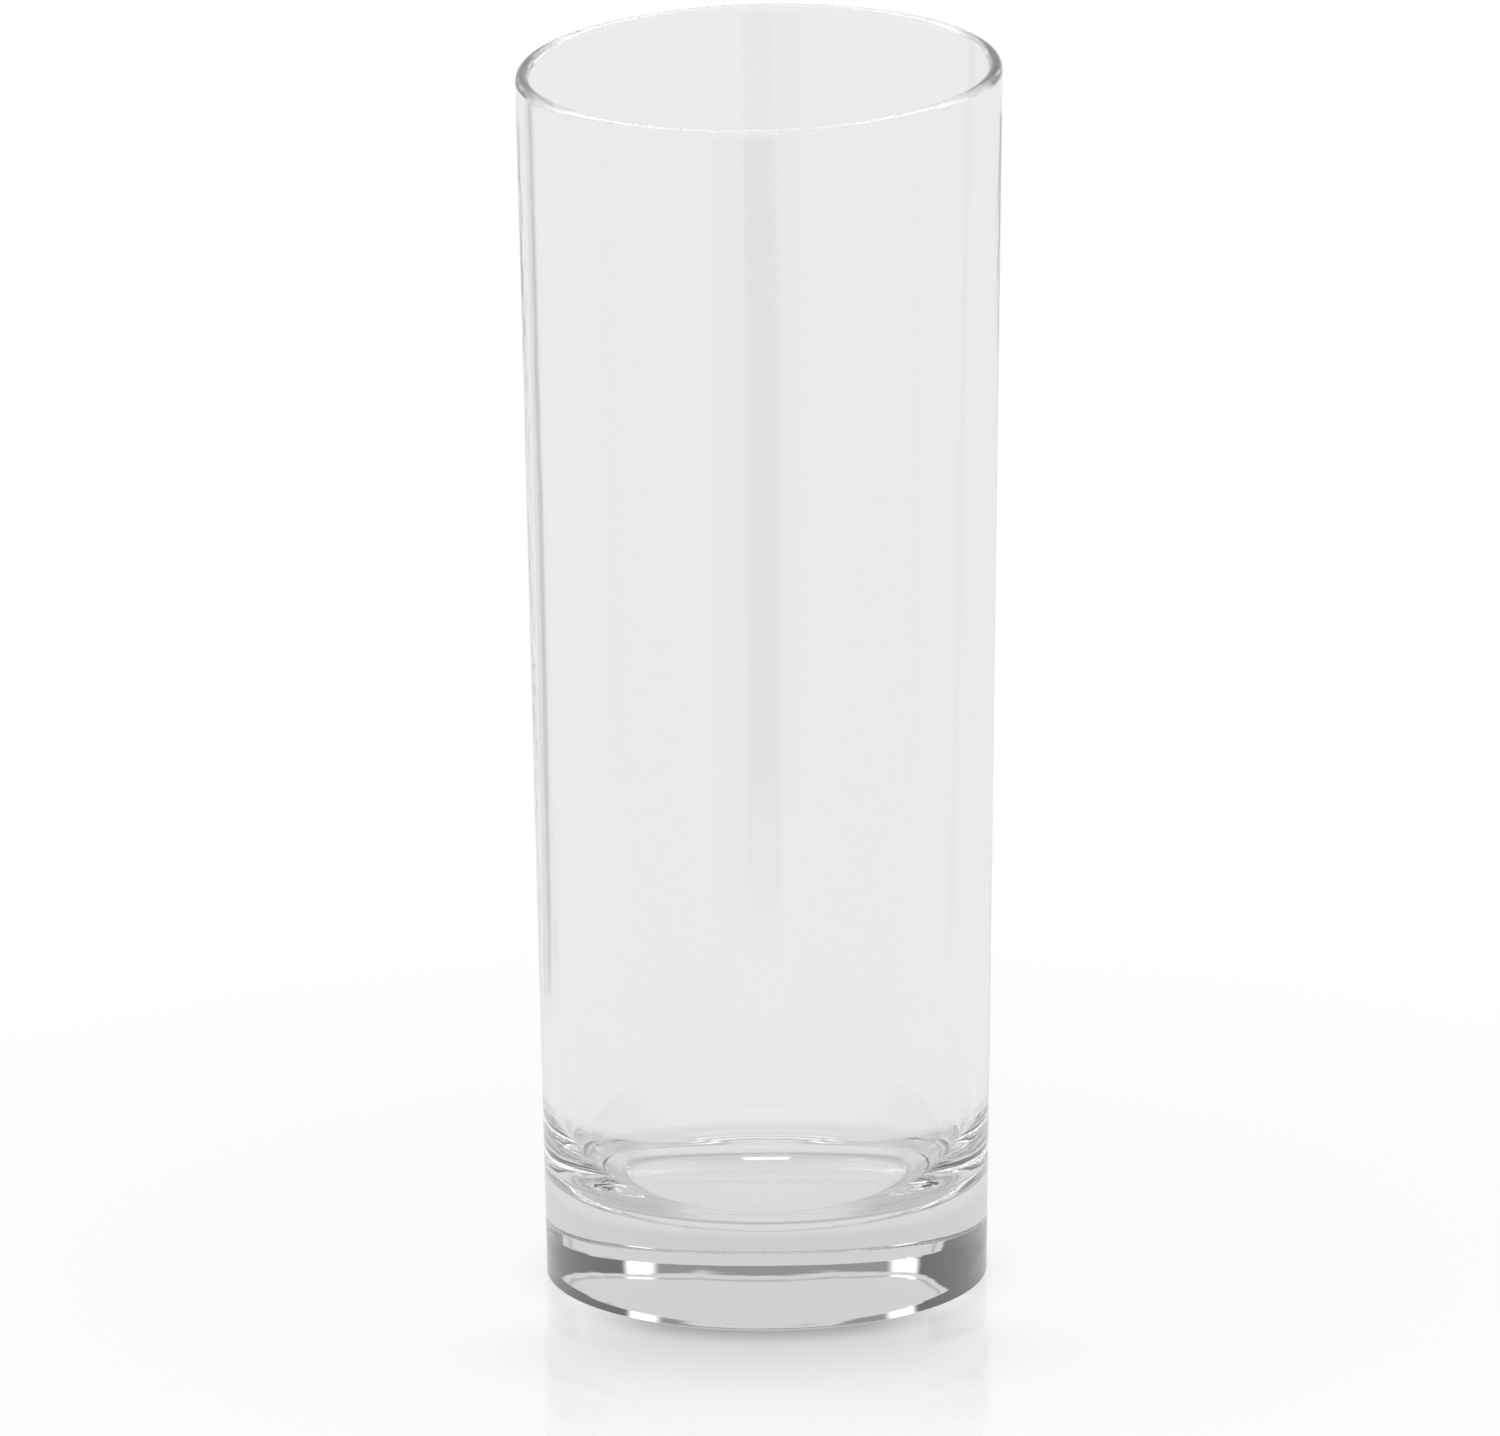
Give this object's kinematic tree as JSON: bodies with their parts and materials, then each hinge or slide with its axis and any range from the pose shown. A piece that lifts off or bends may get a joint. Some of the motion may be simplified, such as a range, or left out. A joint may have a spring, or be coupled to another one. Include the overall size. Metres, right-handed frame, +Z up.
{
  "type": "cylinder vase",
  "caption": "Tall clear glass cylinder vase with a heavy base, a round-bottomed cavity and a fire-polished rim, for cut flowers or a candle.",
  "frame": {"origin": "centre of the plane that the base stands on", "axes": "+Z up along the axis of revolution, from the base to the mouth; X and Y are any two level directions, because the vase is round"},
  "size_m": [0.0888, 0.0888, 0.229],
  "materials": {
    "clear_glass": "smooth polished clear glass with a faint neutral grey depth in the thick base"
  },
  "bodies": {
    "root": {"vase_body": "clear_glass"}
  },
  "joints": []
}
